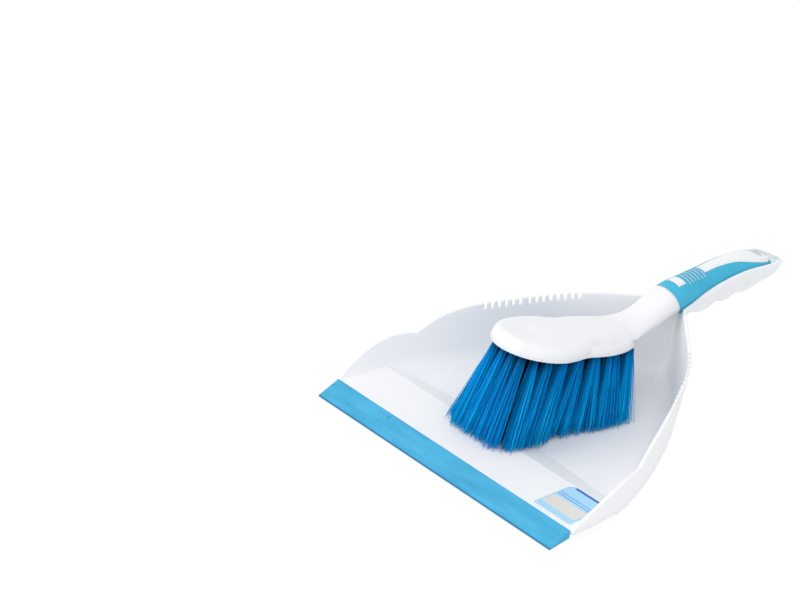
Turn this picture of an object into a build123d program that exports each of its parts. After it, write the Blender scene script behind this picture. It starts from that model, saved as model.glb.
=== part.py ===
from build123d import *
import math
import os

os.makedirs("parts", exist_ok=True)

# Dust pan with a hand brush nested in it. Millimetres, +Z up, the lip strip facing -Y.
# The origin is on the ground, half way along the set. Stations along the set ("_y") are
# measured backwards from the tip of the lip strip, heights from the ground.

# Whole set
set_length = 315.0        # tip of the lip strip to the end of the pan's handle
clearance = 0.4           # between the brush and the pan

# Lip strip
lip_width = 220.0
lip_depth = 16.2
lip_edge = 0.9            # thickness of its front edge
lip_heel = 2.6            # how far its rear underside is off the ground
tongue_reach = 7.6        # how far the pan's tongue goes into the strip
tongue_low = 2.4          # underside of the tongue at its front edge
tongue_edge = 1.1         # thickness of the tongue at its front edge
tongue_under = 1.4        # strip under the tongue's root
tongue_over = 1.6         # strip over the tongue's root
tongue_inset = 3.5        # strip left closed at each end of the tongue

# Pan: moulded skin, apron and ramp
skin = 2.6                # floor, apron and ramp
wall = 2.2                # drawn side walls
draft = 7.0               # degrees
apron_height = 8.0
ridge_y = 54.0            # straight back edge of the apron
ramp_run = 18.0           # ramp length on the centre line
ramp_bow = 8.0            # how much shorter the ramp is beside the walls

# Pan: outline of the dust well at the ground
pan_half = 111.0
shoulder_y = 56.0         # where the sides start to draw in
shoulder_radius = 140.0
side_x = 88.6             # middle of the bowed sides
side_y = 110.0
side_radius = 300.0
corner_x = 58.5           # rear corners
corner_y = 161.0
corner_radius = 110.0
apex_y = 213.0            # where the rear walls would meet
outer_foot = 5.0          # rounding between floor and walls, outside and inside
inner_foot = 13.0

# Pan: rim line as (station, height) and, on the handle, as (distance behind the collar, height)
front_rim = ((40.0, 21.3), (66.0, 27.8))
notch_y = 77.5            # notch between the two lobes of the rim
notch_height = 27.2
rear_rim = ((92.0, 36.6), (120.0, 44.6), (160.0, 50.2), (188.0, 55.4))
handle_rim = ((0.0, 57.4), (22.0, 64.6), (46.0, 69.5), (75.0, 70.6), (98.0, 68.6))
tip_rim = 64.6
lobe_rises = ((0.6, -0.12), (0.85, -0.4))   # slopes at both ends of the front and the rear line

# Pan: comb teeth along the rear of the rim
comb_from_y = 120.0
comb_to_y = 177.0
comb_pitch = 4.8
comb_gap = 2.3
comb_depth = 4.2

# Brush stem: elliptical rings as (distance behind the collar, half width, underside, crown)
collar_setback = 8.0      # collar in front of the pan's apex
neck_rings = (
    (-62.0, 19.0, 51.9, 60.4),
    (-50.0, 18.6, 49.4, 58.8),
    (-40.0, 16.4, 47.2, 58.0),
    (-30.0, 13.6, 45.6, 59.8),
    (-20.0, 12.6, 45.6, 63.8),
    (-10.0, 12.4, 47.8, 69.2),
)
handle_rings = (
    (0.0, 12.2, 50.2, 73.0),
    (21.0, 11.8, 51.6, 75.6),
    (42.0, 11.4, 52.8, 77.6),
    (62.0, 11.7, 54.4, 77.8),
    (80.0, 11.9, 55.2, 75.2),
    (91.0, 10.6, 56.8, 71.8),
    (96.0, 8.0, 58.8, 69.2),
    (98.5, 4.4, 61.2, 66.4),
)
widest_ring = 4           # where the rounded end of the handle starts

# Pan handle: swells under the fingers as (distance behind the collar, swell), and rounded end
finger_swells = ((-8.0, 0.4), (0.0, 0.6), (9.5, 0.8), (19.0, 0.9), (30.5, 4.4), (43.0, 0.9),
                 (51.5, 3.6), (60.0, 0.8), (70.0, 3.4), (80.0, 0.6))
tip_height = 66.0         # middle of the rounded end
tip_roundness = 0.97      # 1 would end it in a point
tip_fullness = 2.5        # 2 would make it an ellipse
tip_steps = (0.4, 0.7, 0.9, 1.0)

# Brush grip: soft skin over the handle core, with windows for the hard pads
grip_skin = 2.0
collar_tilt = 20.0        # degrees, its top leaning forward
badge_from = 4.0          # behind the collar
badge_length = 7.0
badge_half = 6.0
rib_count = 6
rib_pitch = 2.9
rib_width = 0.8
rib_half = 7.0
tongue_pad = ((30.0, 4.5), (39.0, 4.6), (50.0, 5.2), (60.5, 6.3), (71.0, 8.2), (82.0, 9.3), (90.0, 8.6),
              (95.0, 5.6), (97.0, 0.0))
hanging_hole = 4.0        # radius
hole_from_end = 11.0
eyelet_wall = 2.6

# Brush head, drawn on its tilted underside
head_tilt = 11.6          # degrees, nose up
head_setback = 150.0      # nose in front of the collar
head_rise = 8.0           # nose above the collar's middle
head_length = 119.0
nose_front = 31.0         # front and rear reach of the nose lobe from its middle
nose_rear = 47.0
head_half = 28.5
tail_half = 7.0
tail_slope = 1.0          # how the outline draws in under the neck
head_waist = ((25.4, 52.5), (26.4, 67.0), (18.5, 104.0))        # half widths from the nose
head_thick = 9.0
head_round = 6.0
lobe_waist = ((24.8, 54.0), (26.0, 67.0), (18.2, 104.0), (12.5, 112.0))
lobe_slope = 0.7
lobe_steps = ((0.4, 1.0, 20.0), (4.6, 0.93, 20.8), (7.6, 0.74, 23.0), (9.2, 0.52, 26.0), (9.9, 0.31, 32.0))
rim_thick = 1.4           # thin flange round the underside
rim_proud = 0.6

# Bristle tufts: staggered rows of doubled bundles held by flat wire anchors
tufts_in_row = (4, 5, 6, 5, 6, 5, 6, 5, 6, 5, 6, 5, 4, 5, 4)
first_row = 8.0           # from the nose
row_pitch = 7.1
column_pitch = 7.8
hole_radius = 2.4
hole_depth = 6.2
tuft_play = 0.1           # tuft in its hole
tuft_sides = 8
tip_radius = 3.7
tuft_lean = 15.0          # tips in front of their roots
tuft_fan = 1.68           # spread of the tips across, as a multiple of the roots
nose_sway = -22.0          # tips pushed aside at the nose and at the rear
rear_sway = 7.0
anchor_length = 4.3
anchor_height = 2.0
anchor_thick = 0.5

# Label on the apron
label_width = 31.0
label_depth = 33.0
label_thick = 0.2
label_corner = 6.0
label_side_gap = 4.0
label_back_gap = 0.6

lip_tip_y = -set_length / 2
collar_y = apex_y - collar_setback
tall = 110.0              # above everything, for cuts that go out at the top
tan_draft = math.tan(math.radians(draft))

ground = Plane(origin=(0, lip_tip_y, 0))
side = Plane(origin=(0, lip_tip_y, 0), x_dir=(0, 1, 0), z_dir=(1, 0, 0))


def across(station):
    """Upright plane across the set, with X to the right and Z up."""
    return Plane(origin=(0, lip_tip_y + station, 0), x_dir=(1, 0, 0), z_dir=(0, -1, 0))


def ring_at(distance):
    """Half width, underside and crown of the brush handle, between its rings."""
    for near, far in zip(handle_rings, handle_rings[1:]):
        if distance <= far[0]:
            share = (distance - near[0]) / (far[0] - near[0])
            return [a + (b - a) * share for a, b in zip(near[1:], far[1:])]
    return handle_rings[-1][1:]


def open_section(station, half, middle, depth):
    """Section of a trough: round below, straight sides out at the top."""
    with BuildSketch(across(station)) as section:
        with BuildLine():
            EllipticalCenterArc((0, middle), half, depth, start_angle=180, arc_size=180)
            Polyline((half, middle), (half, tall), (-half, tall), (-half, middle))
        make_face()
    return section.sketch


def trough_section(ring, grow, drop=0.0):
    """Trough round the brush handle, `grow` outside it, its underside lowered by `drop`."""
    distance, half, low, crown = ring
    middle = (low + crown) / 2
    return open_section(collar_y + distance, half + grow, middle, middle - low + grow + drop)


def trough_end(grow):
    """Rounded end of the trough, from the handle's widest ring to its tip."""
    start, half, low, crown = handle_rings[widest_ring]
    end = set_length - collar_y - clearance - wall + grow
    sections = []
    for share in tip_steps:
        keep = math.sqrt(1 - (tip_roundness * share) ** tip_fullness)
        sections.append(open_section(collar_y + start + (end - start) * share, (half + grow) * keep,
                                     tip_height, (tip_height - low + grow) * keep))
    return sections


def apron_sections(drop):
    """Outline under the foot of the ramp and outline of the apron's top, lowered by `drop`."""
    reach = pan_half + wall + apron_height
    foot_side = ridge_y + ramp_run - ramp_bow
    with BuildSketch(ground.offset(skin - drop)) as foot:
        with BuildLine():
            ThreePointArc((-reach, foot_side), (0, ridge_y + ramp_run), (reach, foot_side))
            Polyline((reach, foot_side), (reach, -reach), (-reach, -reach), (-reach, foot_side))
        make_face()
    with BuildSketch(ground.offset(apron_height - drop)) as top:
        with BuildLine():
            Polyline((-reach, ridge_y), (reach, ridge_y), (reach, -reach), (-reach, -reach), close=True)
        make_face()
    return [foot.sketch, top.sketch]


# Outline of the dust well at the ground, run out past the front
with BuildSketch(ground) as well_outline:
    with BuildLine():
        FilletPolyline((pan_half, -lip_depth), (pan_half, shoulder_y), (side_x, side_y),
                       (corner_x, corner_y), (0, apex_y),
                       radius=[shoulder_radius, side_radius, corner_radius])
        Line((0, apex_y), (0, -lip_depth))
        Line((0, -lip_depth), (pan_half, -lip_depth))
    make_face()
    mirror(about=Plane.YZ)

# Space inside the pan: drafted walls, rounded foot, apron and ramp rising out of its floor
with BuildPart() as well_space:
    with BuildSketch(ground.offset(skin)):
        add(well_outline.sketch_local)
        offset(amount=skin * tan_draft - wall / math.cos(math.radians(draft)), kind=Kind.INTERSECTION)
    extrude(amount=tall, taper=-draft)
    fillet(well_space.faces().sort_by(Axis.Z)[0].edges(), radius=inner_foot)
    loft(apron_sections(0.0), ruled=True, mode=Mode.SUBTRACT)

# Channel for the brush handle, open upwards so that the brush lifts out
with BuildPart() as channel:
    loft([trough_section((-collar_setback, *ring_at(-collar_setback)), clearance)]
         + [trough_section(ring, clearance) for ring in handle_rings[:widest_ring + 1]]
         + trough_end(clearance))

# Hanging hole, straight down through both handles
hole_y = collar_y + handle_rings[-1][0] - hole_from_end
with BuildPart() as hanging_bore:
    with BuildSketch(ground):
        with Locations((0, hole_y)):
            Circle(hanging_hole)
    extrude(amount=tall)

# One rim line runs round the pan and on along its handle
with BuildPart() as under_rim:
    with BuildSketch(side.offset(-2 * pan_half)):
        with BuildLine():
            Polyline((set_length, tip_rim), (set_length, -skin), (lip_depth, -skin),
                     (lip_depth, apron_height))
            Spline((lip_depth, apron_height), *front_rim, (notch_y, notch_height),
                   tangents=[(1, rise) for rise in lobe_rises[0]])
            Spline((notch_y, notch_height), *rear_rim,
                   *[(collar_y + distance, height) for distance, height in handle_rim],
                   (set_length, tip_rim), tangents=[(1, rise) for rise in lobe_rises[1]])
        make_face()
    extrude(amount=4 * pan_half)

# Gaps between the comb teeth, cut down from the rim on both sides
with BuildSketch(ground) as comb_ring:
    add(well_outline.sketch_local)
    offset(amount=rear_rim[1][1] * tan_draft - wall / 2, kind=Kind.INTERSECTION)
comb_line = comb_ring.sketch_local.wire()
comb_spots = []
for step in range(int(comb_line.length / comb_pitch)):
    spot = comb_line.position_at(step * comb_pitch, position_mode=PositionMode.LENGTH)
    heading = comb_line.tangent_at(step * comb_pitch, position_mode=PositionMode.LENGTH)
    if spot.X > 0 and comb_from_y < spot.Y < comb_to_y:
        turn = math.degrees(math.atan2(heading.Y, heading.X))
        comb_spots.append(Location((spot.X, spot.Y, 0), (0, 0, turn)))
with BuildPart() as comb_gaps:
    with BuildSketch(ground):
        with Locations(*comb_spots):
            Rectangle(comb_gap, 3 * wall)
    extrude(amount=tall)
    add(under_rim.part.moved(Location((0, 0, -comb_depth))), mode=Mode.SUBTRACT)
    mirror(about=Plane.YZ)

# Pan: drafted tub and trough handle under one rim, hollowed, with the front underside lifted
with BuildPart() as pan_body:
    with BuildSketch(ground):
        add(well_outline.sketch_local)
    extrude(amount=tall, taper=-draft)
    fillet(pan_body.faces().sort_by(Axis.Z)[0].edges(), radius=outer_foot)
    shell = clearance + wall
    loft([trough_section((distance, *ring_at(distance)), shell, drop) for distance, drop in finger_swells]
         + trough_end(shell))
    add(under_rim.part, mode=Mode.INTERSECT)
    add(well_space.part, mode=Mode.SUBTRACT)
    add(channel.part, mode=Mode.SUBTRACT)
    loft(apron_sections(skin), ruled=True, mode=Mode.SUBTRACT)
    add(comb_gaps.part, mode=Mode.SUBTRACT)
    add(hanging_bore.part, mode=Mode.SUBTRACT)
    with BuildSketch(side):
        with BuildLine():
            Polyline((lip_depth + 2 * skin, apron_height - skin), (lip_depth, lip_heel + tongue_under),
                     (lip_depth - tongue_reach, tongue_low),
                     (lip_depth - tongue_reach, tongue_low + tongue_edge),
                     (lip_depth, apron_height - tongue_over),
                     (lip_depth + 2 * skin, apron_height - tongue_over), close=True)
        make_face()
    extrude(amount=lip_width / 2 - tongue_inset, both=True)
pan_body.part.label = "pan_body"

# Lip strip: soft wedge moulded round the tongue
with BuildPart() as lip_strip:
    with BuildSketch(side):
        with BuildLine():
            Polyline((0, 0), (lip_depth, lip_heel), (lip_depth, apron_height), (0, lip_edge), close=True)
        make_face()
    extrude(amount=lip_width / 2, both=True)
    add(pan_body.part, mode=Mode.SUBTRACT)
lip_strip.part.label = "lip_strip"

# Label: thin printed sheet stuck to the right of the apron, one corner rounded
with BuildPart() as label:
    label_x = pan_half - wall - label_side_gap - label_width / 2
    label_y = ridge_y - label_back_gap - label_depth / 2
    with BuildSketch(ground.offset(apron_height)) as label_sheet:
        with Locations((label_x, label_y)):
            Rectangle(label_width, label_depth)
        fillet(label_sheet.vertices().group_by(Axis.Y)[-1].sort_by(Axis.X)[0], radius=label_corner)
    extrude(amount=label_thick)
label.part.label = "label"


def stem_ring(ring, shrink=0.0):
    """Elliptical section of the brush's neck and handle, `shrink` inside its surface."""
    distance, half, low, crown = ring
    with BuildSketch(across(collar_y + distance)) as section:
        with Locations((0, (low + crown) / 2)):
            Ellipse(half - shrink, (crown - low) / 2 - shrink)
    return section.sketch


# Outside of the brush's neck and handle in one run, and the hard core inside the handle
with BuildPart() as stem:
    loft([stem_ring(ring) for ring in neck_rings + handle_rings])
with BuildPart() as core:
    loft([stem_ring(ring, grip_skin) for ring in neck_rings[-1:] + handle_rings[:-1]])

# Everything in front of the tilted collar, where the grip starts
collar_middle = (handle_rings[0][2] + handle_rings[0][3]) / 2
collar_lean = math.radians(collar_tilt)
collar = Plane(origin=(0, lip_tip_y + collar_y, collar_middle), x_dir=(1, 0, 0),
               z_dir=(0, -math.cos(collar_lean), -math.sin(collar_lean)))
with BuildPart() as front_of_collar:
    with BuildSketch(collar):
        Rectangle(tall, tall)
    extrude(amount=tall)

# Pads of hard plastic that show through the grip: badge, ribs, long tongue and eyelet
with BuildPart() as pads:
    with BuildSketch(ground.offset(collar_middle)):
        with Locations((0, collar_y + badge_from + badge_length / 2)):
            Rectangle(2 * badge_half, badge_length)
        with Locations((0, collar_y + badge_from + badge_length + rib_pitch * (rib_count + 1) / 2)):
            with GridLocations(0, rib_pitch, 1, rib_count):
                Rectangle(2 * rib_half, rib_width)
        with BuildLine():
            Spline(*[(half, collar_y + distance) for distance, half in tongue_pad],
                   tangents=((0, 1), (-1, 0)))
            Polyline((0, collar_y + tongue_pad[-1][0]), (0, collar_y + tongue_pad[0][0]),
                     (tongue_pad[0][1], collar_y + tongue_pad[0][0]))
        make_face()
        mirror(about=Plane.YZ)
    extrude(amount=tall)
    with BuildSketch(ground):
        with Locations((0, hole_y)):
            Circle(hanging_hole + eyelet_wall)
    extrude(amount=tall)
    add(stem.part, mode=Mode.INTERSECT)

# Brush grip: soft skin moulded over the core, between the pads
with BuildPart() as brush_grip:
    add(stem.part)
    add(front_of_collar.part, mode=Mode.SUBTRACT)
    add(core.part, mode=Mode.SUBTRACT)
    add(pads.part, mode=Mode.SUBTRACT)
    add(hanging_bore.part, mode=Mode.SUBTRACT)
brush_grip.part.label = "brush_grip"

# Underside of the brush head, with the nose at its origin
head_tilt_rad = math.radians(head_tilt)
head_nose = (0, lip_tip_y + collar_y - head_setback, collar_middle + head_rise)
underside = Plane(origin=head_nose, x_dir=(1, 0, 0),
                  z_dir=(0, math.sin(head_tilt_rad), math.cos(head_tilt_rad)))


def lobe_section(height, keep, front):
    """Section of the domed rear lobe at a height, its width times `keep`, starting at `front`."""
    spots = [(half * keep, along) for half, along in lobe_waist]
    with BuildSketch(underside.offset(height)) as section:
        with BuildLine():
            Spline((0, front), *spots, tangents=((1, 0), (-lobe_slope * keep, 1)))
            Polyline(spots[-1], (0, spots[-1][1]), (0, front))
        make_face()
        mirror(about=Plane.YZ)
    return section.sketch


def pan_under(x, y):
    """Height of the pan's apron, ramp or floor at a station."""
    foot = ridge_y + ramp_run - ramp_bow * (x / (pan_half + wall + apron_height)) ** 2
    share = min(max((y - ridge_y) / (foot - ridge_y), 0), 1)
    return apron_height + (skin - apron_height) * share


# Tufts fan out: each has a plane at the mouth of its hole, facing its tip, and a free length
tuft_places = []
for row, count in enumerate(tufts_in_row):
    sway = nose_sway + (rear_sway - nose_sway) * row / (len(tufts_in_row) - 1)
    places = []
    for column in range(count):
        spot = ((column - (count - 1) / 2) * column_pitch, first_row + row * row_pitch)
        root = underside.from_local_coords(Vector(*spot, 0))
        tip_x = root.X * tuft_fan + sway
        tip_y = root.Y - tuft_lean
        floor = pan_under(tip_x, tip_y - lip_tip_y - 2 * tip_radius) + clearance
        aim = (Vector(tip_x, tip_y, floor) - root).normalized()
        end_rise = tip_radius * math.sqrt(1 - aim.Z ** 2)
        place = Plane(origin=root, x_dir=Vector(1, 0, 0) - aim * aim.X, z_dir=aim)
        places.append((place, (floor + end_rise - root.Z) / aim.Z))
    tuft_places.append(places)
tuft_planes = [place for places in tuft_places for place, length in places]

# Brush head: thin flange round the underside, flat nose lobe, domed rear lobe
with BuildPart() as flange:
    flange_half = head_half + rim_proud
    flange_tail = tail_half + rim_proud
    with BuildSketch(underside):
        with BuildLine():
            EllipticalCenterArc((0, nose_front), flange_half, nose_front + rim_proud,
                                start_angle=-90, arc_size=90)
            Spline((flange_half, nose_front), *[(half + rim_proud, along) for half, along in head_waist],
                   (flange_tail, head_length), tangents=((0, 1), (-tail_slope, 1)))
            Polyline((flange_tail, head_length), (0, head_length), (0, -rim_proud))
        make_face()
        mirror(about=Plane.YZ)
    extrude(amount=rim_thick)

up_head = Axis(underside.origin, underside.z_dir)
with BuildPart() as nose_lobe:
    with BuildSketch(underside.offset(rim_thick / 2)):
        with BuildLine():
            EllipticalCenterArc((0, nose_front), head_half, nose_front, start_angle=180, arc_size=180)
            EllipticalCenterArc((0, nose_front), head_half, nose_rear, start_angle=0, arc_size=180)
        make_face()
    extrude(amount=head_thick - rim_thick / 2)
    fillet(nose_lobe.faces().sort_by(up_head)[-1].edges(), radius=head_round)

with BuildPart() as rear_lobe:
    loft([lobe_section(*step) for step in lobe_steps])

# Brush body: head, neck, handle core and pads in one moulding, with a blind hole for each tuft
with BuildPart() as brush_body:
    add(stem.part)
    add(front_of_collar.part, mode=Mode.INTERSECT)
    add(flange.part)
    add(nose_lobe.part)
    add(rear_lobe.part)
    add(core.part)
    add(pads.part)
    add(hanging_bore.part, mode=Mode.SUBTRACT)
    for place in tuft_planes:
        with BuildSketch(place.offset(hole_radius)):
            Circle(hole_radius)
    extrude(amount=-hole_depth - hole_radius, mode=Mode.SUBTRACT)
brush_body.part.label = "brush_body"

# Tuft anchors: a flat piece of wire across the bottom of every hole
with BuildPart() as tuft_anchors:
    for place in tuft_planes:
        with BuildSketch(place.offset(-hole_depth)):
            Rectangle(anchor_length, anchor_thick)
    extrude(amount=anchor_height)
tuft_anchors.part.label = "tuft_anchors"

# Bristle tufts: one bundle per hole, slotted over its anchor and opening down to the pan
root_radius = hole_radius - tuft_play
tuft_rows = []
for row, places in enumerate(tuft_places):
    with BuildPart() as tuft_row:
        for place, length in places:
            for along, radius in ((-hole_depth, root_radius), (0, root_radius), (length, tip_radius)):
                with BuildSketch(place.offset(along)):
                    RegularPolygon(radius, tuft_sides)
            loft(ruled=True)
        for place, length in places:
            with BuildSketch(place.offset(-hole_depth)):
                Rectangle(2 * hole_radius, anchor_thick)
        extrude(amount=anchor_height, mode=Mode.SUBTRACT)
    tuft_row.part.label = f"tuft_row_{row + 1:02d}"
    tuft_rows.append(tuft_row)

for piece in [pan_body, lip_strip, label, brush_body, brush_grip, tuft_anchors] + tuft_rows:
    export_step(piece.part, f"parts/{piece.part.label}.step")
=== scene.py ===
import math

import bpy
import numpy as np
from mathutils import Matrix, Vector


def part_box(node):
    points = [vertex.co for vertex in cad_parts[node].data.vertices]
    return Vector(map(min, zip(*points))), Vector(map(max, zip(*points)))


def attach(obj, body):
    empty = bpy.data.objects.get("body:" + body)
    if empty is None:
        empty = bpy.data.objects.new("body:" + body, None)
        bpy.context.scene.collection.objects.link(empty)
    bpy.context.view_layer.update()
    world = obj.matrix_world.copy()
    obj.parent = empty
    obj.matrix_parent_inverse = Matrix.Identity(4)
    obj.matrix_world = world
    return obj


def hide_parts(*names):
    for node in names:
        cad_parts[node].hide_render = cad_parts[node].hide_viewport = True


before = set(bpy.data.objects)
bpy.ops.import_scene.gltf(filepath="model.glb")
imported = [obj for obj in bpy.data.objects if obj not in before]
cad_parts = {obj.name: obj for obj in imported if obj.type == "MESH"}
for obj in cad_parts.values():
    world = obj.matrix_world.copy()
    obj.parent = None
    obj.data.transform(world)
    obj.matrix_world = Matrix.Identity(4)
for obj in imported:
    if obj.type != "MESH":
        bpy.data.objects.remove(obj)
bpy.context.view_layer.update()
scene = bpy.context.scene
scene.view_settings.view_transform = "Standard"


# Pan: one injection moulding in white polypropylene. Apron, ramp, dust well, two-lobed rim
# with comb teeth and open trough handle all come out of the same tool. The plastic lets a
# little light through, and its satin skin shows faint flow marks and a fine grain.
def blank_finish(name):
    """A material to start from, with its node tree and its shader."""
    material = bpy.data.materials.new(name)
    material.use_nodes = True
    tree = material.node_tree
    return material, tree, tree.nodes["Principled BSDF"]


def mottle(tree, where, scale, detail=2.0):
    """Cloudy pattern; a larger scale makes it finer."""
    clouds = tree.nodes.new("ShaderNodeTexNoise")
    clouds.inputs["Scale"].default_value = scale
    clouds.inputs["Detail"].default_value = detail
    tree.links.new(where, clouds.inputs["Vector"])
    return clouds.outputs["Fac"]


def rescale(tree, value, low, high, to_low, to_high):
    """Takes a value from one range to another and holds it there."""
    span = tree.nodes.new("ShaderNodeMapRange")
    span.inputs["From Min"].default_value = low
    span.inputs["From Max"].default_value = high
    span.inputs["To Min"].default_value = to_low
    span.inputs["To Max"].default_value = to_high
    tree.links.new(value, span.inputs["Value"])
    return span.outputs["Result"]


def tint(tree, value, stops):
    """Colours for a value, from pairs of a position and a colour in rising order."""
    colours = tree.nodes.new("ShaderNodeValToRGB")
    elements = colours.color_ramp.elements
    for number, (position, colour) in enumerate(stops):
        stop = elements[number] if number < 2 else elements.new(position)
        stop.position = position
        stop.color = (*colour, 1)
    tree.links.new(value, colours.inputs["Fac"])
    return colours.outputs["Color"]


def skin_relief(tree, height, strength, distance):
    """Fine surface relief from a pattern; gives the bump node."""
    skin = tree.nodes.new("ShaderNodeBump")
    skin.inputs["Strength"].default_value = strength
    skin.inputs["Distance"].default_value = distance
    tree.links.new(height, skin.inputs["Height"])
    return skin


def dress(node, material):
    """Gives a CAD piece its finish."""
    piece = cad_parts[node]
    piece.data.materials.clear()
    piece.data.materials.append(material)


def moulded_white(name, white, smoothest, roughest):
    """Satin white plastic: cool white with faint flow marks, uneven gloss and a fine grain."""
    material, tree, shader = blank_finish(name)
    shader.inputs["IOR"].default_value = 1.49
    shader.inputs["Specular IOR Level"].default_value = 0.2
    shader.inputs["Subsurface Weight"].default_value = 0.5
    shader.inputs["Subsurface Radius"].default_value = (1.0, 1.0, 1.0)
    shader.inputs["Subsurface Scale"].default_value = 0.004
    place = tree.nodes.new("ShaderNodeTexCoord").outputs["Object"]

    flow = mottle(tree, place, 11.0, 4.0)
    shaded = (white - 0.026, white - 0.023, white - 0.014)
    clean = (white, white + 0.003, white + 0.008)
    tree.links.new(tint(tree, flow, ((0.3, shaded), (0.7, clean))), shader.inputs["Base Color"])
    gloss = rescale(tree, flow, 0.3, 0.7, smoothest, roughest)
    tree.links.new(gloss, shader.inputs["Roughness"])

    edge = tree.nodes.new("ShaderNodeBevel")
    edge.samples = 6
    edge.inputs["Radius"].default_value = 0.0009
    skin = skin_relief(tree, mottle(tree, place, 1100.0), strength=0.05, distance=0.0003)
    tree.links.new(edge.outputs["Normal"], skin.inputs["Normal"])
    tree.links.new(skin.outputs["Normal"], shader.inputs["Normal"])
    return material


dress("pan_body", moulded_white("pan_white", white=0.955, smoothest=0.34, roughest=0.46))


# Lip strip: soft blue thermoplastic rubber moulded along the pan's front edge, matt, with
# streaks along its length, small dark rub marks on its left half and painted shade along its front
# edge.
def lay_over(tree, under, colour, share):
    """Lays a colour over what is there, by a share from 0 to 1."""
    layer = tree.nodes.new("ShaderNodeMix")
    layer.data_type = "RGBA"
    layer.inputs["B"].default_value = (*colour, 1)
    tree.links.new(share, layer.inputs["Factor"])
    tree.links.new(under, layer.inputs["A"])
    return layer.outputs["Result"]


def combine(tree, operation, first, second):
    """Joins two values by one step of arithmetic."""
    step = tree.nodes.new("ShaderNodeMath")
    step.operation = operation
    tree.links.new(first, step.inputs[0])
    tree.links.new(second, step.inputs[1])
    return step.outputs["Value"]


def lip_finish():
    """Matt blue rubber, streaked, rubbed and finely pebbled."""
    material, tree, shader = blank_finish("lip_rubber")
    shader.inputs["Specular IOR Level"].default_value = 0.3
    shader.inputs["Roughness"].default_value = 0.55
    place = tree.nodes.new("ShaderNodeTexCoord").outputs["Object"]
    axes = tree.nodes.new("ShaderNodeSeparateXYZ")
    tree.links.new(place, axes.inputs["Vector"])

    def drawn_out(stretch):
        """Coordinates in which a pattern is longer across the pan."""
        mapping = tree.nodes.new("ShaderNodeMapping")
        mapping.inputs["Scale"].default_value = (stretch, 1.0, 1.0)
        tree.links.new(place, mapping.inputs["Vector"])
        return mapping.outputs["Vector"]

    streak = mottle(tree, drawn_out(0.22), 160.0, 5.0)
    rubber = tint(tree, streak, ((0.28, (0.042, 0.35, 0.575)), (0.68, (0.074, 0.445, 0.715))))

    specks = rescale(tree, mottle(tree, drawn_out(0.55), 420.0), 0.63, 0.72, 0.0, 0.85)
    left_half = rescale(tree, axes.outputs["X"], -0.06, 0.03, 1.0, 0.12)
    rubbed = lay_over(tree, rubber, (0.03, 0.28, 0.42), combine(tree, "MULTIPLY", specks, left_half))

    lip_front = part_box("lip_strip")[0].y
    # Painted shade: the rubber turns darker towards its front edge, where it sits on the table.
    painted_edge_shade = rescale(tree, axes.outputs["Y"], lip_front + 0.0003, lip_front + 0.0011, 0.8, 0.0)
    edge_shaded = lay_over(tree, rubbed, (0.012, 0.16, 0.34), painted_edge_shade)
    tree.links.new(edge_shaded, shader.inputs["Base Color"])

    pebble = skin_relief(tree, mottle(tree, place, 1400.0), strength=0.25, distance=0.0003)
    tree.links.new(pebble.outputs["Normal"], shader.inputs["Normal"])
    return material


dress("lip_strip", lip_finish())


# Label: printed film stuck on the right of the apron, one corner rounded. It carries plain
# bands only: a pale blue field, a dark bar, two rules and a blank cream panel.
def label_finish():
    """Pale blue film with plain printed bands."""
    material, tree, shader = blank_finish("label_film")
    low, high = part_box("label")
    place = tree.nodes.new("ShaderNodeTexCoord").outputs["Object"]
    axes = tree.nodes.new("ShaderNodeSeparateXYZ")
    tree.links.new(place, axes.inputs["Vector"])
    fibre = mottle(tree, place, 500.0)
    field = tint(tree, fibre, ((0.3, (0.36, 0.67, 0.91)), (0.7, (0.44, 0.73, 0.94))))

    def between(value, start, end):
        """1 where a coordinate lies between two limits, 0 elsewhere."""
        near = tree.nodes.new("ShaderNodeMath")
        near.operation = "COMPARE"
        near.inputs[1].default_value = (start + end) / 2
        near.inputs[2].default_value = (end - start) / 2
        tree.links.new(value, near.inputs[0])
        return near.outputs["Value"]

    def print_band(under, colour, side_gap, back_gap, depth):
        """Prints one plain band, placed by its gaps to the film's sides and back edge."""
        back = high.y - back_gap
        across = between(axes.outputs["X"], low.x + side_gap, high.x - side_gap)
        along = between(axes.outputs["Y"], back - depth, back)
        return lay_over(tree, under, colour, combine(tree, "MULTIPLY", across, along))

    dark_blue = (0.04, 0.13, 0.46)
    mid_blue = (0.13, 0.36, 0.76)
    cream = (0.74, 0.73, 0.68)
    ink = print_band(field, dark_blue, side_gap=0.0045, back_gap=0.0004, depth=0.0019)
    ink = print_band(ink, mid_blue, side_gap=0.0012, back_gap=0.0107, depth=0.0009)
    ink = print_band(ink, mid_blue, side_gap=0.0012, back_gap=0.0132, depth=0.0009)
    ink = print_band(ink, cream, side_gap=0.0012, back_gap=0.0162, depth=0.0118)
    tree.links.new(ink, shader.inputs["Base Color"])
    tree.links.new(rescale(tree, fibre, 0.0, 1.0, 0.28, 0.42), shader.inputs["Roughness"])
    return material


dress("label", label_finish())


# Brush body: head, raised rear lobe, neck and handle core in one white moulding, a little
# glossier than the pan because it is handled and polished.
dress("brush_body", moulded_white("brush_white", white=0.885, smoothest=0.32, roughest=0.42))


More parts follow.
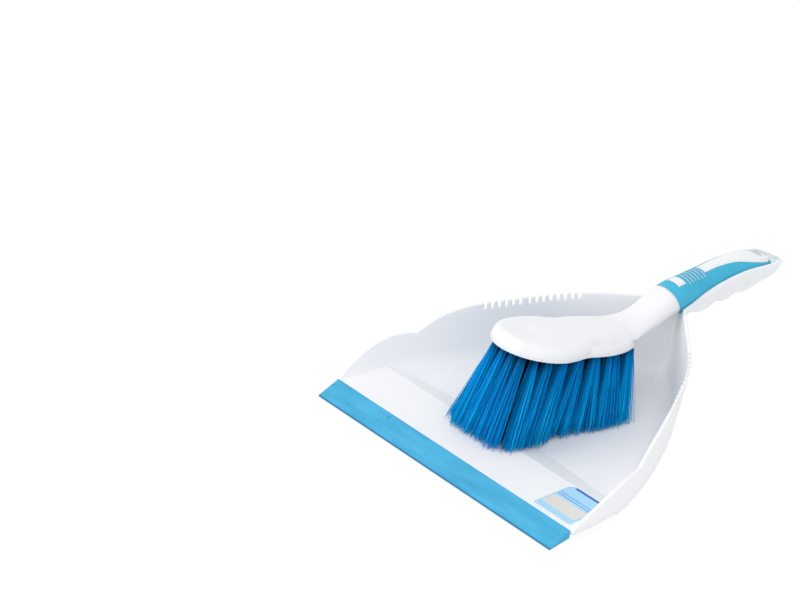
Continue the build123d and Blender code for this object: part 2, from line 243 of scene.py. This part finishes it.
# Brush grip: soft blue skin moulded over the handle core, dull to the touch, a little
# darker where the hand presses it.
def grip_finish():
    """Soft-touch blue rubber with a fine stipple."""
    material, tree, shader = blank_finish("grip_rubber")
    shader.inputs["Specular IOR Level"].default_value = 0.3
    place = tree.nodes.new("ShaderNodeTexCoord").outputs["Object"]
    press = mottle(tree, place, 38.0, 3.0)
    rubber = tint(tree, press, ((0.3, (0.045, 0.42, 0.62)), (0.7, (0.062, 0.475, 0.69))))
    tree.links.new(rubber, shader.inputs["Base Color"])
    tree.links.new(rescale(tree, press, 0.0, 1.0, 0.48, 0.66), shader.inputs["Roughness"])
    stipple = skin_relief(tree, mottle(tree, place, 2200.0), strength=0.3, distance=0.0002)
    tree.links.new(stipple.outputs["Normal"], shader.inputs["Normal"])
    return material


dress("brush_grip", grip_finish())


# Tuft anchors: short pieces of flat drawn wire that hold the fold of each tuft at the bottom
# of its hole. They are inside the head.
def wire_finish():
    """Drawn steel with an uneven shine."""
    material, tree, shader = blank_finish("anchor_wire")
    shader.inputs["Metallic"].default_value = 1.0
    shader.inputs["Base Color"].default_value = (0.56, 0.57, 0.58, 1)
    place = tree.nodes.new("ShaderNodeTexCoord").outputs["Object"]
    drawn = rescale(tree, mottle(tree, place, 1500.0), 0.0, 1.0, 0.25, 0.5)
    tree.links.new(drawn, shader.inputs["Roughness"])
    return material


dress("tuft_anchors", wire_finish())


# Bristles: blue plastic filaments, doubled over and driven into the head in staggered rows.
# Every tuft leaves its hole as a tight round bundle and opens towards its cut, uneven end.
# The rows lean forward and fan out, most of all at the nose and at the rear.
tufts_in_row = (4, 5, 6, 5, 6, 5, 6, 5, 6, 5, 6, 5, 4, 5, 4)
last_row = len(tufts_in_row) - 1
first_row = 0.008           # behind the head's nose
row_pitch = 0.0071
column_pitch = 0.0078
root_depth = 0.003          # start of the filaments, up in their hole
head_nose = np.array((0.0, -0.1025, 0.0696))
head_tilt = math.radians(11.6)
back_along = np.array((0.0, math.cos(head_tilt), -math.sin(head_tilt)))
up_from_head = np.array((0.0, math.sin(head_tilt), math.cos(head_tilt)))

tight_bundle = 0.0021       # radius of a tuft at its hole, at the sides and the nose
full_bundle = 0.0032        # the same inside the brush
splay_across = 0.0052       # radius of a tuft at its tips
splay_along = 0.0048
nose_sway = -0.005          # tips of the first row aside of their roots
opening = 1.25              # 1 would open a tuft evenly along its length

filaments = 100             # in a tuft
rings = 6                   # along a filament
sides = 3                   # round a filament
golden_turn = 2.39996       # spreads the filaments of a tuft evenly

apron_height = 0.008        # the pan under the tips
floor_height = 0.0026
ridge_y = -0.1035
ramp_foot_y = -0.0855
ramp_bow = 0.008
ramp_half = 0.1212


def bristle_finish():
    """Blue plastic filament; the ramp runs from a painted shade, nearly black in the depth of the
    brush, to a painted highlight, pale at a lit tip.
    """
    material, tree, shader = blank_finish("bristle_filament")
    shader.inputs["Roughness"].default_value = 0.42
    shader.inputs["Specular IOR Level"].default_value = 0.06
    strand_painted_shade = tree.nodes.new("ShaderNodeAttribute")
    strand_painted_shade.attribute_name = "strand_painted_shade"
    # Painted shade and painted highlight: depth is a nearly black painted shade, body the filament's
    # own blue, lit and pale are painted light on the tips.
    depth = (0.0002, 0.004, 0.02)
    body = (0.001, 0.33, 0.84)
    lit = (0.004, 0.60, 1.0)
    pale = (0.09, 0.78, 1.0)
    colour = tint(tree, strand_painted_shade.outputs["Fac"], ((0.0, depth), (0.45, body), (0.8, lit), (1.0, pale)))
    tree.links.new(colour, shader.inputs["Base Color"])
    return material


def pan_under(x, y):
    """Height of the pan's apron, ramp or floor under a point."""
    foot = ramp_foot_y - ramp_bow * (x / ramp_half) ** 2
    share = np.clip((y - ridge_y) / (foot - ridge_y), 0, 1)
    return apron_height - (apron_height - floor_height) * share


def filament_points(row, count, column, across, along, spread, picks):
    """Corners of a row's filaments: filament, ring, side and coordinate."""
    total = count * filaments
    root_x = (column - (count - 1) / 2) * column_pitch
    root_along = first_row + row * row_pitch
    root = head_nose + np.outer(root_x, (1, 0, 0)) + root_along * back_along + root_depth * up_from_head
    showing = (column == 0) | (column == count - 1) | (row == 0)
    bundle_radius = np.where(showing, tight_bundle, full_bundle)[:, None]
    fold = bundle_radius * (np.outer(across, (1, 0, 0)) + np.outer(along, back_along))

    half_width = np.interp(row, (0, 1, 2, 6, 10, 14), (0.016, 0.025, 0.026, 0.020, 0.029, 0.030))
    lean = np.interp(row, (0, 3, 9, 10, 14), (0.021, 0.023, 0.012, 0.012, 0.018))
    tip_x = (column * 2 / (count - 1) - 1) * half_width + nose_sway * (1 - row / last_row)
    tip_y = head_nose[1] + root_along * back_along[1] - lean
    loose = np.clip(1 + 0.16 * picks.standard_t(4, total) * spread, 0.3, 2.0)
    splay_x = across * splay_across * loose + picks.normal(0, 0.0006, total)
    splay_y = along * splay_along * loose + picks.normal(0, 0.0006, total)
    uneven_cut = 0.0005 + np.abs(picks.normal(0, 0.0013, total))
    tip_z = pan_under(tip_x + splay_x, tip_y + splay_y - 0.001) + uneven_cut
    tip = np.stack((tip_x, np.full(total, tip_y), tip_z), 1)
    splay = np.stack((splay_x, splay_y, np.zeros(total)), 1)
    bow = np.stack((across, along, np.zeros(total)), 1) * 0.0006 + picks.normal(0, 0.0003, (total, 3))
    thick = picks.uniform(0.00022, 0.00026, total)[:, None]

    aim = tip - root
    aim /= np.linalg.norm(aim, axis=1)[:, None]
    first = np.cross(aim, (0.0, 1.0, 0.0))
    first /= np.linalg.norm(first, axis=1)[:, None]
    second = np.cross(aim, first)
    points = np.zeros((total, rings, sides, 3))
    for ring in range(rings):
        share = ring / (rings - 1)
        opened = share ** opening
        middle = root + (tip - root) * share + fold * (1 - opened) + splay * opened
        middle += bow * 4 * share * (1 - share)
        for side in range(sides):
            angle = 2 * math.pi * side / sides
            outward = first * math.cos(angle) + second * math.sin(angle)
            points[:, ring, side] = middle + thick * (1 - 0.25 * share) * outward
    return points


def filament_faces(total):
    """Side walls and both ends of a row's filaments."""
    faces = []
    for start in range(0, total * rings * sides, rings * sides):
        for low in range(start, start + (rings - 1) * sides, sides):
            for side in range(sides):
                after = (side + 1) % sides
                faces.append((low + side, low + after, low + sides + after, low + sides + side))
        end = start + (rings - 1) * sides
        faces.append((start + 2, start + 1, start))
        faces.append((end, end + 1, end + 2))
    return faces


def filament_tones_and_painted_shade(row, count, column, across, along, picks):
    """Lightness of each filament along its length, mostly painted shade: dark at the roots, between
    tufts and inside, with a random tone per tuft and filament.
    """
    at_side = (column == 0) | (column == count - 1)
    at_end = row in (0, last_row)
    widest_beside = max(tufts_in_row[max(row - 1, 0):row + 2])
    # Painted shade: tufts inside the brush are nearly black, and the side tufts of recessed rows a
    # little darker.
    painted_recess_shade = 1.0 if count == widest_beside else 0.85
    outer = np.where(at_side | at_end, painted_recess_shade, 0.12)
    # Painted shade: filaments at a tuft's flank are darkened.
    flank = np.where(at_side, np.abs(along), np.abs(across))
    if at_end:
        flank = np.minimum(np.abs(along), np.abs(across))
    # Painted shade: darker towards the roots, lighter towards the tips.
    painted_root_shade = np.interp(np.linspace(0, 1, rings), (0, 0.1, 0.3, 1), (0.05, 0.55, 0.85, 1.0))
    tuft_tone = np.repeat(picks.uniform(0.7, 1, count), filaments)
    tone_and_painted_shade = outer * tuft_tone * (1 - 0.85 * flank ** 2) * picks.uniform(0.7, 1.05, count * filaments)
    return tone_and_painted_shade[:, None] * painted_root_shade


bristle = bristle_finish()
for row, count in enumerate(tufts_in_row):
    picks = np.random.default_rng(40 + row)
    column = np.repeat(np.arange(count), filaments)
    in_tuft = np.tile(np.arange(filaments), count)
    spread = np.sqrt((in_tuft + 0.5) / filaments)
    turn = in_tuft * golden_turn + picks.uniform(0, 0.5, count * filaments)
    across = np.cos(turn) * spread
    along = np.sin(turn) * spread
    points = filament_points(row, count, column, across, along, spread, picks)
    tones_and_painted_shade = filament_tones_and_painted_shade(row, count, column, across, along, picks)

    mesh = bpy.data.meshes.new(f"bristles_{row + 1:02d}")
    mesh.from_pydata(points.reshape(-1, 3).tolist(), [], filament_faces(count * filaments))
    mesh.shade_smooth()
    # This attribute carries painted shade and painted highlight into the bristle colour ramp.
    strand_painted_shade = mesh.attributes.new("strand_painted_shade", "FLOAT", "POINT")
    strand_painted_shade.data.foreach_set("value", np.repeat(tones_and_painted_shade.ravel(), sides).astype(np.float32))
    mesh.materials.append(bristle)
    bundle = bpy.data.objects.new(f"bristles_{row + 1:02d}", mesh)
    scene.collection.objects.link(bundle)
    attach(bundle, "brush")
    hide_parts(f"tuft_row_{row + 1:02d}")


# Studio: a plain white table that runs out on all sides, an even white surround, a broad soft
# lamp overhead, another in front on the left and a weak one from the right.
def seen_directly(tree):
    """1 for what the camera sees, also in a shine or through something, and 0 for other light."""
    rays = tree.nodes.new("ShaderNodeLightPath")
    seen = combine(tree, "MAXIMUM", rays.outputs["Is Camera Ray"], rays.outputs["Is Glossy Ray"])
    return combine(tree, "MAXIMUM", seen, rays.outputs["Is Transmission Ray"])


def table_finish():
    """Matt white that takes a faint shadow and otherwise shows as plain white."""
    material, tree, shader = blank_finish("table_white")
    tree.nodes.remove(shader)
    matt = tree.nodes.new("ShaderNodeBsdfDiffuse")
    matt.inputs["Color"].default_value = (0.93, 0.93, 0.94, 1)
    paper = tree.nodes.new("ShaderNodeEmission")
    paper.inputs["Color"].default_value = (1, 1, 1, 1)
    paper.inputs["Strength"].default_value = 1.05
    mix = tree.nodes.new("ShaderNodeMixShader")
    plain_share = 0.86
    tree.links.new(rescale(tree, seen_directly(tree), 0.0, 1.0, 0.0, plain_share), mix.inputs["Fac"])
    tree.links.new(matt.outputs["BSDF"], mix.inputs[1])
    tree.links.new(paper.outputs["Emission"], mix.inputs[2])
    tree.links.new(mix.outputs["Shader"], tree.nodes["Material Output"].inputs["Surface"])
    return material


def soft_lamp(name, place, target, size, power, colour):
    """Square soft box that faces a point."""
    lamp = bpy.data.lights.new(name, "AREA")
    lamp.shape = "SQUARE"
    lamp.size = size
    lamp.energy = power
    lamp.color = colour
    holder = bpy.data.objects.new(name, lamp)
    holder.location = place
    holder.rotation_euler = (Vector(target) - Vector(place)).to_track_quat("-Z", "Y").to_euler()
    scene.collection.objects.link(holder)


reach = 6.0
table_height = -0.0004
table_corners = [(-reach, -reach, table_height), (reach, -reach, table_height),
                 (reach, reach, table_height), (-reach, reach, table_height)]
table = bpy.data.meshes.new("table")
table.from_pydata(table_corners, [], [(0, 1, 2, 3)])
table.materials.append(table_finish())
table_top = bpy.data.objects.new("table", table)
scene.collection.objects.link(table_top)

surround = bpy.data.worlds.new("surround")
scene.world = surround
surround.use_nodes = True
sky = surround.node_tree
air = sky.nodes["Background"]
air.inputs["Color"].default_value = (0.955, 0.97, 1.0, 1)
air.inputs["Strength"].default_value = 0.785
backdrop = sky.nodes.new("ShaderNodeBackground")
backdrop.inputs["Color"].default_value = (1, 1, 1, 1)
backdrop.inputs["Strength"].default_value = 1.0
mix = sky.nodes.new("ShaderNodeMixShader")
sky.links.new(seen_directly(sky), mix.inputs["Fac"])
sky.links.new(air.outputs["Background"], mix.inputs[1])
sky.links.new(backdrop.outputs["Background"], mix.inputs[2])
sky.links.new(mix.outputs["Shader"], sky.nodes["World Output"].inputs["Surface"])

warm = (1.0, 0.995, 0.985)
cool = (0.98, 0.985, 1.0)
soft_lamp("key", place=(0.45, -0.5, 2.05), target=(0, 0, 0.03), size=1.6, power=11.0, colour=warm)
soft_lamp("front", place=(-1.0, -1.8, 0.9), target=(0, -0.05, 0.03), size=1.4, power=11.0, colour=cool)
soft_lamp("side", place=(1.5, -1.4, 0.5), target=(0, -0.05, 0.03), size=1.4, power=3.0, colour=warm)


# Camera: a long lens from the front right, above the set, leaning a few degrees. It stands
# where the photograph was taken from.
camera_place = Vector((0.89371, -1.00931, 0.75449))
turn = math.radians(47.5678)
height = math.radians(27.3003)
roll = math.radians(4.3897)
away = Vector((math.sin(turn) * math.cos(height), -math.cos(turn) * math.cos(height), math.sin(height)))
level = Vector((math.cos(turn), math.sin(turn), 0))
upright = away.cross(level)
right = level * math.cos(roll) + upright * math.sin(roll)
up = upright * math.cos(roll) - level * math.sin(roll)
lens = bpy.data.cameras.new("camera")
lens.sensor_width = 36.0
lens.lens = 103.82
camera = bpy.data.objects.new("camera", lens)
facing = Matrix((right, up, away)).transposed().to_4x4()
camera.matrix_world = Matrix.Translation(camera_place) @ facing
scene.collection.objects.link(camera)
scene.camera = camera
